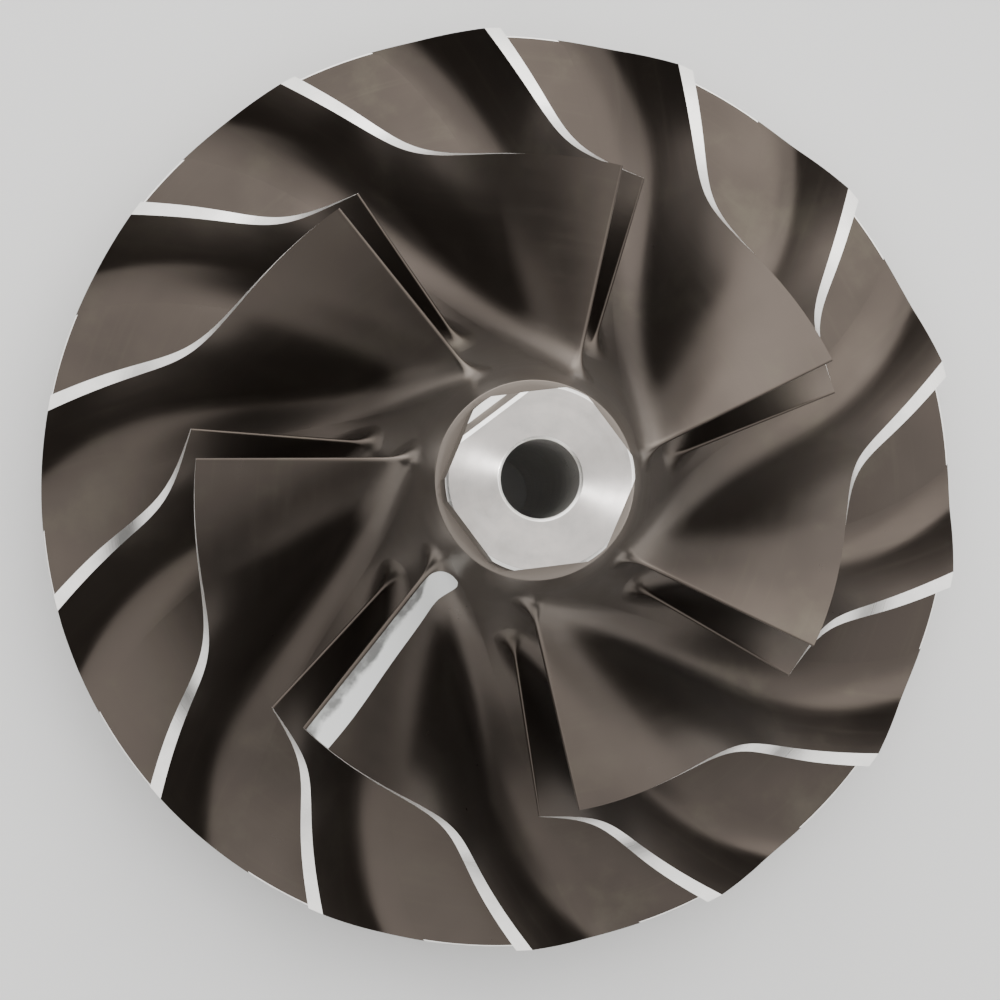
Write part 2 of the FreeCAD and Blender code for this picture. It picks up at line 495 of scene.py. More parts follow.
@dataclass
class FlowPath:
    """The two contours that guide the air: the hub's arc and the turned blade tips."""

    rim_radius: float = 41.5
    disc_front: float = 8.0
    hub_radius: float = 9.8
    ledge_radius: float = 8.5
    ledge_level: float = 40.4
    inducer_radius: float = 28.45
    inlet_level: float = 34.4
    lead: float = 1.6
    exit_width: float = 6.0
    fullness: tuple[float, float] = (0.68, 0.74)

    def __post_init__(self) -> None:
        """Work out the hub's arc and the tip contour's control points."""
        self.start_level = self.inlet_level + self.lead
        slope = math.atan2(self.hub_radius - self.ledge_radius,
                           self.ledge_level - self.start_level)
        inward = (math.cos(slope), math.sin(slope))
        across = self.rim_radius - self.hub_radius
        down = self.disc_front - self.start_level
        self.arc_radius = ((across ** 2 + down ** 2)
                           / (2 * (across * inward[0] + down * inward[1])))
        self.arc_centre = (self.hub_radius + self.arc_radius * inward[0],
                           self.start_level + self.arc_radius * inward[1])
        ends = ((self.hub_radius, self.start_level), (self.rim_radius, self.disc_front))
        self.arc_angles = [math.atan2(z - self.arc_centre[1], r - self.arc_centre[0])
                           % (2 * math.pi) for r, z in ends]
        exit_level = self.disc_front + self.exit_width
        drop = self.fullness[0] * (self.start_level - exit_level)
        run = self.fullness[1] * (self.rim_radius - self.inducer_radius)
        self.tip_radii = (self.inducer_radius, self.inducer_radius,
                          self.rim_radius - run, self.rim_radius)
        self.tip_levels = (self.start_level, self.start_level - drop, exit_level, exit_level)

    def hub(self, s: np.ndarray) -> tuple[np.ndarray, np.ndarray]:
        """Radius and height of the hub, from 0 above the inlet to 1 at the rim."""
        first, last = self.arc_angles
        angle = first + (last - first) * np.asarray(s, dtype=float)
        return (self.arc_centre[0] + self.arc_radius * np.cos(angle),
                self.arc_centre[1] + self.arc_radius * np.sin(angle))

    def tip(self, s: np.ndarray) -> tuple[np.ndarray, np.ndarray]:
        """Radius and height of the blade tips, from 0 above the inlet to 1 at the rim."""
        return bezier(self.tip_radii, s), bezier(self.tip_levels, s)

    def onto_hub(self, start: np.ndarray, along: np.ndarray) -> np.ndarray:
        """Where lines meet the hub's arc.

        Args:
            start: One point of each line, near the hub.
            along: Unit direction of each line.

        Returns:
            The point on the arc for each line.
        """
        reach = np.zeros(len(start))
        for _ in range(12):
            at = start + along * reach[:, None]
            radius = np.hypot(at[:, 0], at[:, 1])
            dr = (at[:, 0] * along[:, 0] + at[:, 1] * along[:, 1]) / radius
            off = (radius - self.arc_centre[0], at[:, 2] - self.arc_centre[1])
            distance = np.hypot(*off)
            rate = (off[0] * dr + off[1] * along[:, 2]) / distance
            reach -= (distance - self.arc_radius) / rate
        return start + along * reach[:, None]

    def onto_tip(self, start: np.ndarray, along: np.ndarray, reach: np.ndarray,
                 s: np.ndarray) -> np.ndarray:
        """Where lines meet the turned contour over the blades.

        Args:
            start: One point of each line.
            along: Unit direction of each line.
            reach: First guess of each line's length to the contour.
            s: First guess of each meeting place on the contour.

        Returns:
            The point on the contour for each line.
        """
        reach, s = reach.copy(), s.copy()
        step = 1e-4
        for _ in range(10):
            at = start + along * reach[:, None]
            radius = np.hypot(at[:, 0], at[:, 1])
            goal, ahead = self.tip(s), self.tip(s + step)
            slope = [(b - a) / step for a, b in zip(goal, ahead)]
            miss = (radius - goal[0], at[:, 2] - goal[1])
            dr = (at[:, 0] * along[:, 0] + at[:, 1] * along[:, 1]) / radius
            whole = -dr * slope[1] + slope[0] * along[:, 2]
            reach -= (-miss[0] * slope[1] + slope[0] * miss[1]) / whole
            s -= (dr * miss[1] - along[:, 2] * miss[0]) / whole
        return start + along * reach[:, None]


def level_station(contour: Callable, height: float) -> float:
    """Where a falling contour passes a height.

    Args:
        contour: Function from a place to a radius and a height.
        height: Height to look for.

    Returns:
        The place on the contour.
    """
    low, high = 0.0, 1.0
    for _ in range(40):
        middle = (low + high) / 2
        if float(contour(middle)[1]) > height:
            low = middle
        else:
            high = middle
    return low


class CamberLine:
    """Line that a blade follows along the hub or along its tips."""

    def __init__(self, contour: Callable, inlet_level: float, turns: Sequence[float],
                 angles: Sequence[float]) -> None:
        """Fit the line's run round the axis to its end angles.

        Args:
            contour: Function from a place to a radius and a height.
            inlet_level: Height of the full blades' leading edges.
            turns: Degrees round the axis at the start, the middle and the end.
            angles: Blade angles off the meridian at both ends.
        """
        self.contour = contour
        self.inlet = level_station(contour, inlet_level)
        start, middle, end = turns
        handles = []
        for s, angle in ((self.inlet, angles[0]), (1.0, angles[1])):
            step = 0.001
            here, ahead = contour(s), contour(s + step)
            run = math.dist((float(here[0]), float(here[1])),
                            (float(ahead[0]), float(ahead[1]))) / step * (1 - self.inlet)
            handles.append(math.degrees(run * math.tan(math.radians(angle))
                                        / float(here[0]) / 4))
        self.turns = (start, start + handles[0], middle, end - handles[1], end)

    def point(self, s: np.ndarray) -> np.ndarray:
        """Points of the line at places on its contour."""
        radius, height = self.contour(s)
        turn = np.radians(bezier(self.turns, (s - self.inlet) / (1 - self.inlet)))
        return np.stack([radius * np.cos(turn), radius * np.sin(turn), height], axis=-1)

    def direction(self, s: np.ndarray) -> np.ndarray:
        """Unit vectors along the line, from inlet to exit."""
        step = 0.001
        way = self.point(s + step) - self.point(s - step)
        return way / np.linalg.norm(way, axis=-1, keepdims=True)


# --------------------------------------------------------------------------- meshes


def unit(vectors: np.ndarray) -> np.ndarray:
    """Rows scaled to length one."""
    return vectors / np.linalg.norm(vectors, axis=-1, keepdims=True)


def new_object(name: str, mesh: bpy.types.Mesh) -> bpy.types.Object:
    """Object for a mesh, linked into the scene at the origin."""
    piece = bpy.data.objects.new(name, mesh)
    bpy.context.scene.collection.objects.link(piece)
    return piece


def shade(mesh: bpy.types.Mesh, sharp: float) -> None:
    """Shade a mesh smooth, with hard edges above an angle in degrees."""
    mesh.polygons.foreach_set("use_smooth", [True] * len(mesh.polygons))
    mesh.set_sharp_from_angle(angle=math.radians(sharp))


def settle(work: bmesh.types.BMesh, mesh: bpy.types.Mesh) -> bpy.types.Mesh:
    """Point a closed form's faces outwards, write it into a mesh and free it."""
    bmesh.ops.recalc_face_normals(work, faces=work.faces)
    work.to_mesh(mesh)
    work.free()
    return mesh


def outward(mesh: bpy.types.Mesh) -> None:
    """Point all of a closed mesh's faces outwards."""
    work = bmesh.new()
    work.from_mesh(mesh)
    settle(work, mesh)


def baked(piece: bpy.types.Object) -> None:
    """Turn a piece's modifiers into its plain mesh and drop them."""
    bpy.context.view_layer.update()
    depsgraph = bpy.context.evaluated_depsgraph_get()
    mesh = bpy.data.meshes.new_from_object(piece.evaluated_get(depsgraph),
                                           preserve_all_data_layers=True,
                                           depsgraph=depsgraph)
    piece.modifiers.clear()
    piece.data = mesh
    mesh.name = piece.name


def set_input(modifier: bpy.types.Modifier, name: str, value: Any) -> None:
    """Set a Geometry Nodes input, found by its name, through its identifier."""
    for item in modifier.node_group.interface.items_tree:
        if item.item_type == "SOCKET" and item.in_out == "INPUT" and item.name == name:
            modifier[item.identifier] = value


def new_tree(name: str, sizes: dict[str, str]) -> tuple[bpy.types.NodeTree, Graph,
                                                       bpy.types.Node, bpy.types.Node]:
    """Start a Geometry Nodes tree.

    Args:
        name: Name of the tree.
        sizes: Socket type of each named input besides the geometry.

    Returns:
        The tree, its graph, its input node and its output node.
    """
    tree = bpy.data.node_groups.new(name, "GeometryNodeTree")
    tree.interface.new_socket("Geometry", in_out="INPUT", socket_type="NodeSocketGeometry")
    for label, kind in sizes.items():
        tree.interface.new_socket(label, in_out="INPUT", socket_type=kind)
    tree.interface.new_socket("Geometry", in_out="OUTPUT", socket_type="NodeSocketGeometry")
    graph = Graph(tree)
    return tree, graph, graph.node("NodeGroupInput"), graph.node("NodeGroupOutput")


class BladeRing:
    """Geometry Nodes tree that repeats one blade round the axis."""

    def __init__(self) -> None:
        """Write the tree: a point for each blade, an instance on each, then one mesh."""
        self.tree, graph, given, result = new_tree("blade_ring", {
            "Blades": "NodeSocketInt", "First Turn": "NodeSocketFloat",
            "Flank": "NodeSocketMaterial", "Turned": "NodeSocketMaterial"})
        count = given.outputs["Blades"]
        points = graph.node("GeometryNodePoints", None, {"Count": count})
        index = graph.term(graph.node("GeometryNodeInputIndex").outputs[0])
        step = 2 * math.pi / graph.term(count)
        turn = index * step + graph.term(given.outputs["First Turn"])
        spin = graph.node("ShaderNodeCombineXYZ", None, {2: turn})
        ring = graph.node("GeometryNodeInstanceOnPoints", None,
                          {"Points": points.outputs[0], "Instance": given.outputs["Geometry"],
                           "Rotation": spin.outputs[0]})
        whole = graph.node("GeometryNodeRealizeInstances", None, {0: ring.outputs[0]})
        dressed = graph.node("GeometryNodeSetMaterial", None,
                             {"Geometry": whole.outputs[0],
                              "Material": given.outputs["Flank"]})
        chosen = graph.node("GeometryNodeInputNamedAttribute", {"data_type": "BOOLEAN"},
                            {"Name": "turned"})
        dressed = graph.node("GeometryNodeSetMaterial", None,
                             {"Geometry": dressed.outputs[0],
                              "Selection": chosen.outputs["Attribute"],
                              "Material": given.outputs["Turned"]})
        graph.feed(result.inputs[0], dressed.outputs[0])

    def apply(self, piece: bpy.types.Object, blades: int, first_turn: float,
              finishes: Finishes) -> None:
        """Repeat a piece's blade and turn the result into its plain mesh.

        Args:
            piece: Object whose mesh is one blade.
            blades: How many blades stand round the axis.
            first_turn: Angle of the first one in degrees.
            finishes: The wheel's materials.
        """
        modifier = piece.modifiers.new("ring", "NODES")
        modifier.node_group = self.tree
        set_input(modifier, "Blades", blades)
        set_input(modifier, "First Turn", math.radians(first_turn))
        set_input(modifier, "Flank", finishes.by_surface[Surface.FLANK])
        set_input(modifier, "Turned", finishes.by_surface[Surface.TURNED])
        baked(piece)


@dataclass
class Blade:
    """One milled blade: straight lines from hub to tip, root fillets, turned tip edge."""

    name: str
    start_level: float
    path: FlowPath = field(default_factory=FlowPath)
    hub_turns: tuple = (-7.0, 36.0, 53.3)
    hub_angles: tuple = (32.4, 38.0)
    tip_turns: tuple = (0.0, 31.7, 44.7)
    tip_angles: tuple = (61.0, 34.5)
    tip_thickness: float = 0.88
    root_thickness: float = 1.5
    edge_thinning: float = 0.30
    root_fillet: float = 2.7
    edge_fillet_share: float = 0.85
    root_sink: float = 0.6
    fillet_dip: float = 0.008
    stations: int = 150
    edge_steps: int = 8
    height_steps: int = 14
    fillet_steps: int = 10
    top_steps: int = 4

    def frames(self, u: np.ndarray) -> tuple[np.ndarray, ...]:
        """Feet, tips, directions up the blade and across it, and tip places.

        Args:
            u: Places along the blade, 0 at the leading edge and 1 at the rim.

        Returns:
            The five arrays, with one row for each place.
        """
        level = self.path.inlet_level
        hub = CamberLine(self.path.hub, level, self.hub_turns, self.hub_angles)
        tip = CamberLine(self.path.tip, level, self.tip_turns, self.tip_angles)
        at_hub, at_tip = (start + (1 - start) * u for start in
                          (level_station(line.contour, self.start_level)
                           for line in (hub, tip)))
        feet, tips = hub.point(at_hub), tip.point(at_tip)
        along = unit(tips - feet)
        across = unit(np.cross(hub.direction(at_hub) + tip.direction(at_tip), tips - feet))
        return feet, tips, along, across, at_tip

    def thicknesses(self, u: np.ndarray) -> tuple[np.ndarray, np.ndarray]:
        """Root and tip thickness, thinner towards the leading edge."""
        share = 1 - (1 - self.edge_thinning) * (1 - np.minimum(u, 1)) ** 10
        return self.root_thickness * share, self.tip_thickness * share

    def fillets(self, u: np.ndarray) -> np.ndarray:
        """Reach of the root fillet, smaller round the leading edge."""
        return self.root_fillet * (1 - (1 - self.edge_fillet_share)
                                   * (1 - np.minimum(u, 1)) ** 8)

    def wall(self, u: np.ndarray, aside: np.ndarray | int) -> np.ndarray:
        """Lines down a wall of the blade, from its crown to its buried root.

        Args:
            u: Places along the blade.
            aside: Side of the wall, 1 or -1, or the outward direction at each place.

        Returns:
            Array of place by point on the line by coordinate.
        """
        feet, tips, along, across, at_tip = self.frames(u)
        out = across * aside if isinstance(aside, int) else aside
        root, top = self.thicknesses(u)
        reach = self.fillets(u)[:, None]
        corner = self.path.onto_hub(feet + out * root[:, None] / 2, along)
        crown = tips + out * top[:, None] / 2
        way = unit(crown - corner)
        crown = self.path.onto_tip(corner, way, np.linalg.norm(crown - corner, axis=1), at_tip)
        shoulder = corner + way * reach
        toe = self.path.onto_hub(corner + out * reach, along) - along * self.fillet_dip
        line = [crown + (shoulder - crown) * t for t in np.linspace(0, 1, self.height_steps + 1)]
        line += [shoulder * (1 - t) ** 2 + corner * (2 * t * (1 - t)) + toe * t ** 2
                 for t in np.linspace(0, 1, self.fillet_steps + 1)[1:]]
        line.append(toe - along * self.root_sink)
        return np.stack(line, axis=1)

    def trimmed(self, side: int) -> np.ndarray:
        """A wall cut at the outside diameter and spaced evenly along the blade.

        Args:
            side: Side of the wall, 1 or -1.

        Returns:
            Array of station by point on the line by coordinate.
        """
        fibres = []
        for line in self.wall(np.linspace(0, 1.06, 700), side).transpose(1, 0, 2):
            radius = np.hypot(line[:, 0], line[:, 1])
            last = int(np.argmax(radius > self.path.rim_radius))
            share = ((self.path.rim_radius - radius[last - 1])
                     / (radius[last] - radius[last - 1]))
            end = line[last - 1] + (line[last] - line[last - 1]) * share
            kept = np.vstack([line[:last], end])
            run = np.concatenate([[0], np.cumsum(np.linalg.norm(np.diff(kept, axis=0),
                                                                axis=1))])
            places = np.linspace(0, run[-1], self.stations)
            fibres.append(np.stack([np.interp(places, run, kept[:, i]) for i in range(3)],
                                   axis=1))
        return np.stack(fibres, axis=1)

    def leading_edge(self) -> np.ndarray:
        """Lines of the rounded leading edge, from one wall round to the other."""
        turn = np.linspace(0, math.pi, self.edge_steps + 1)[1:-1]
        u = np.zeros(len(turn))
        _, _, along, across, _ = self.frames(u)
        ahead = unit(np.cross(across, along))
        return self.wall(u, across * np.cos(turn)[:, None] + ahead * np.sin(turn)[:, None])

    def roof(self, grid: np.ndarray) -> np.ndarray:
        """Points on the turned tip edge between the crowns of the two walls.

        Args:
            grid: Lines of both walls in order, from rim to rim.

        Returns:
            Array of pair of lines by point across by coordinate.
        """
        pairs = len(grid) // 2
        first, second = grid[:pairs, 0], grid[::-1][:pairs, 0]
        shares = np.linspace(0, 1, self.top_steps + 1)[1:-1]
        flat = np.concatenate([first * (1 - t) + second * t for t in shares])
        along = unit(grid[:pairs, 0] - grid[:pairs, 1])
        along = np.concatenate([along] * len(shares))
        near = np.linspace(1, 0, pairs)
        onto = self.path.onto_tip(flat, along, np.zeros(len(flat)),
                                  np.concatenate([near] * len(shares)))
        return onto.reshape(len(shares), pairs, 3).transpose(1, 0, 2)

    def mesh(self) -> bpy.types.Mesh:
        """Closed mesh of the blade with its bare surfaces marked.

        Returns:
            The mesh, in metres.
        """
        grid = np.concatenate([self.trimmed(1)[::-1], self.leading_edge(), self.trimmed(-1)])
        rows, columns = grid.shape[:2]
        pairs, steps = rows // 2, self.top_steps - 1
        roof = self.roof(grid)
        faces: list[tuple[int, ...]] = []
        for i in range(rows - 1):
            for j in range(columns - 1):
                k = i * columns + j
                faces.append((k, k + 1, k + columns + 1, k + columns))
        bare = [False] * len(faces)

        def across(i: int) -> list[int]:
            """Vertices over the tip edge at a pair of lines."""
            if i == pairs:
                return [i * columns] * (steps + 2)
            inner = [rows * columns + i * steps + k for k in range(steps)]
            return [i * columns] + inner + [(rows - 1 - i) * columns]

        for i in range(pairs):
            here, there = across(i), across(i + 1)
            for k in range(steps + 1):
                corners = (here[k], here[k + 1], there[k + 1], there[k])
                faces.append(tuple(dict.fromkeys(corners)))
                bare.append(True)
            root = [n * columns + columns - 1 for n in (i, i + 1, rows - 2 - i, rows - 1 - i)]
            faces.append(tuple(dict.fromkeys(root)))
            bare.append(False)
        last = (rows - 1) * columns
        faces.append(tuple(across(0)) + (last + 1, 1))
        faces += [(j, j + 1, last + j + 1, last + j) for j in range(1, columns - 1)]
        bare += [True] * (columns - 1)
        mesh = bpy.data.meshes.new(self.name)
        points = np.concatenate([grid.reshape(-1, 3), roof.reshape(-1, 3)]) * MM
        mesh.from_pydata(points.tolist(), [], faces)
        self.lay_ways(mesh, grid, roof)
        flag = mesh.attributes.new("turned", "BOOLEAN", "FACE")
        flag.data.foreach_set("value", bare)
        outward(mesh)
        shade(mesh, 30.0)
        return mesh

    def lay_ways(self, mesh: bpy.types.Mesh, grid: np.ndarray, roof: np.ndarray) -> None:
        """Write the map that follows the flow: metres along the blade and up it."""
        steps = np.linalg.norm(np.diff(grid, axis=0), axis=2)
        runs = np.concatenate([np.zeros((1, grid.shape[1])), np.cumsum(steps, axis=0)])
        ups = np.linalg.norm(grid - grid[:, :1, :], axis=2)
        flat = np.stack([runs, ups], axis=2).reshape(-1, 2)
        over = np.stack([np.repeat(runs[:len(roof), :1], roof.shape[1], axis=1),
                         np.zeros(roof.shape[:2])], axis=2).reshape(-1, 2)
        flat = np.concatenate([flat, over]) * MM
        layer = mesh.uv_layers.new(name="flow")
        corners = np.zeros(len(mesh.loops), dtype=int)
        mesh.loops.foreach_get("vertex_index", corners)
        layer.data.foreach_set("uv", flat[corners].ravel())


@dataclass
class PaintMark:
    """Paint-pen stroke along the leading edge of one full blade, from its tip inwards."""

    name: str = "paint_mark"
    blade_number: int = 2
    width: float = 2.9
    widening: float = 0.35
    film: float = 0.03
    start_share: float = 0.002
    end_share: float = 0.965
    end_round: float = 0.11
    clear_of_edge: float = 0.12
    bedding: float = 0.05
    ripple: float = 0.10
    carrier_share: float = 0.25
    carrier_stations: int = 180
    rows: int = 90
    columns: int = 16

    def outline(self, t: float) -> tuple[float, float]:
        """Both sides of the stroke.

        Args:
            t: Place along the stroke, 0 at the blade's tip and 1 at its end.

        Returns:
            Distances of the two sides from the leading edge.
        """
        wide = self.width + self.widening * t + self.ripple * math.sin(9.0 * t)
        late = max(0.0, (t - 1 + self.end_round) / self.end_round)
        shrink = math.sqrt(max(0.0, 1 - late ** 2.2))
        middle = self.clear_of_edge + wide * (0.5 + 0.10 * late)
        half = wide / 2 * shrink
        return middle - half, middle + half

    def build(self, blade: Blade, turn: float, finishes: Finishes) -> bpy.types.Object:
        """Lay the stroke on the blade's upper wall as a thin closed film.

        Args:
            blade: The blade that carries the stroke.
            turn: Angle of that blade in degrees.
            finishes: The wheel's materials.

        Returns:
            The finished stroke.
        """
        wall = blade.wall(np.linspace(0, self.carrier_share, self.carrier_stations), -1)[:, :-1]
        runs = np.concatenate([np.zeros((1, wall.shape[1])),
                               np.cumsum(np.linalg.norm(np.diff(wall, axis=0), axis=2),
                                         axis=0)])
        downs = np.linalg.norm(np.diff(wall[0], axis=0), axis=1)
        shares = np.concatenate([[0], np.cumsum(downs)]) / downs.sum()
        points, ways = [], []
        for t in np.linspace(0, 0.9995, self.rows):
            share = self.start_share + (self.end_share - self.start_share) * t
            low, high = self.outline(float(t))
            for b in np.linspace(0, 1, self.columns):
                away = low + (high - low) * b
                line = np.array([[np.interp(away, runs[:, j], wall[:, j, i])
                                  for i in range(3)] for j in range(wall.shape[1])])
                points.append([np.interp(share, shares, line[:, i]) for i in range(3)])
                ways.append((float(away / self.width), float(t)))
        grid = np.array(points)
        across = blade.frames(np.zeros(1))[3][0]
        under = grid + across * self.bedding
        over = grid - across * self.film
        work = bmesh.new()
        layer = work.loops.layers.uv.new("flow")
        sheets = [[work.verts.new(tuple(p * MM)) for p in sheet] for sheet in (under, over)]
        wide = self.columns
        rim = ([(r, 0) for r in range(self.rows)]
               + [(self.rows - 1, c) for c in range(1, wide)]
               + [(r, wide - 1) for r in range(self.rows - 2, -1, -1)]
               + [(0, c) for c in range(wide - 2, 0, -1)])
        for sheet in sheets:
            for r in range(self.rows - 1):
                for c in range(wide - 1):
                    k = r * wide + c
                    work.faces.new((sheet[k], sheet[k + 1], sheet[k + wide + 1],
                                    sheet[k + wide]))
        for (r0, c0), (r1, c1) in zip(rim, rim[1:] + rim[:1]):
            a, b = r0 * wide + c0, r1 * wide + c1
            work.faces.new((sheets[0][a], sheets[0][b], sheets[1][b], sheets[1][a]))
        work.verts.index_update()
        for face in work.faces:
            face.smooth = True
            for loop in face.loops:
                loop[layer].uv = ways[loop.vert.index % len(ways)]
        bmesh.ops.recalc_face_normals(work, faces=work.faces)
        bmesh.ops.rotate(work, verts=work.verts, cent=(0, 0, 0),
                         matrix=Matrix.Rotation(math.radians(turn), 3, "Z"))
        mesh = bpy.data.meshes.new(self.name)
        work.to_mesh(mesh)
        work.free()
        mesh.materials.append(finishes.by_surface[Surface.PAINT])
        mesh.set_sharp_from_angle(angle=math.radians(50))
        return new_object(self.name, mesh)


class Turning:
    """Geometry Nodes tree that turns a profile of points about the axis."""

    def __init__(self) -> None:
        """Write the tree: a grid whose rows read the profile's points in turn."""
        self.tree, graph, given, result = new_tree("turned_profile", {
            "Divisions": "NodeSocketInt", "Metal": "NodeSocketMaterial"})
        profile = given.outputs["Geometry"]
        divisions = given.outputs["Divisions"]
        size = graph.node("GeometryNodeAttributeDomainSize", {"component": "MESH"},
                          {0: profile})
        rows = size.outputs["Point Count"]
        grid = graph.node("GeometryNodeMeshGrid", None,
                          {"Vertices X": graph.term(divisions) + 1.0, "Vertices Y": rows})
        index = graph.term(graph.node("GeometryNodeInputIndex").outputs[0])
        row = index.modulo(graph.term(rows))
        column = (index / graph.term(rows) + 1e-4).floored()
        where = graph.node("GeometryNodeInputPosition")
        sampled = graph.node("GeometryNodeSampleIndex",
                             {"data_type": "FLOAT_VECTOR", "domain": "POINT"},
                             {"Geometry": profile, "Value": where.outputs[0],
                              "Index": row + 0.1})
        parts = graph.node("ShaderNodeSeparateXYZ", None, {0: sampled.outputs[0]})
        radius, height = graph.term(parts.outputs[0]), graph.term(parts.outputs[2])
        turn = column * (2 * math.pi / graph.term(divisions))
        place = graph.node("ShaderNodeCombineXYZ", None,
                           {0: radius * turn.cosine(), 1: radius * turn.sine(), 2: height})
        turned = graph.node("GeometryNodeSetPosition", None,
                            {"Geometry": grid.outputs["Mesh"], "Position": place.outputs[0]})
        closed = graph.node("GeometryNodeMergeByDistance", None,
                            {"Geometry": turned.outputs[0], "Distance": 1e-6})
        whole = graph.node("GeometryNodeRealizeInstances", None, {0: closed.outputs[0]})
        dressed = graph.node("GeometryNodeSetMaterial", None,
                             {"Geometry": whole.outputs[0],
                              "Material": given.outputs["Metal"]})
        graph.feed(result.inputs[0], dressed.outputs[0])

    def apply(self, name: str, profile: Sequence[tuple[float, float]], divisions: int,
              metal: bpy.types.Material) -> bpy.types.Object:
        """Turn a closed profile into a piece.

        Args:
            name: Name of the piece.
            profile: Radius and height of each point in turn, the last joining the first.
            divisions: Steps round the axis.
            metal: Material of the piece.

        Returns:
            The new piece, with a plain mesh.
        """
        mesh = bpy.data.meshes.new(name)
        points = [(r * MM, 0.0, z * MM) for r, z in list(profile) + [profile[0]]]
        mesh.from_pydata(points, [(i, i + 1) for i in range(len(points) - 1)], [])
        mesh.materials.append(metal)
        piece = new_object(name, mesh)
        modifier = piece.modifiers.new("turning", "NODES")
        modifier.node_group = self.tree
        set_input(modifier, "Divisions", divisions)
        set_input(modifier, "Metal", metal)
        baked(piece)
        outward(piece.data)
        return piece


def rounded(corners: Sequence[tuple[float, float, float]], steps: int = 3
            ) -> list[tuple[float, float]]:
    """Round the corners of a run of points.

    Args:
        corners: Radius, height and size of the rounding at each corner.
        steps: Pieces that each rounding is made of.

    Returns:
        The points of the rounded run.
    """
    points: list[tuple[float, float]] = []
    for i, (r, z, size) in enumerate(corners):
        if size <= 0:
            points.append((r, z))
            continue
        here = Vector((r, z))
        before = Vector(corners[i - 1][:2])
        after = Vector(corners[(i + 1) % len(corners)][:2])
        start = here + (before - here).normalized() * size
        end = here + (after - here).normalized() * size
        for k in range(steps + 1):
            t = k / steps
            at = start * (1 - t) ** 2 + here * (2 * t * (1 - t)) + end * t ** 2
            points.append((at.x, at.y))
    return points


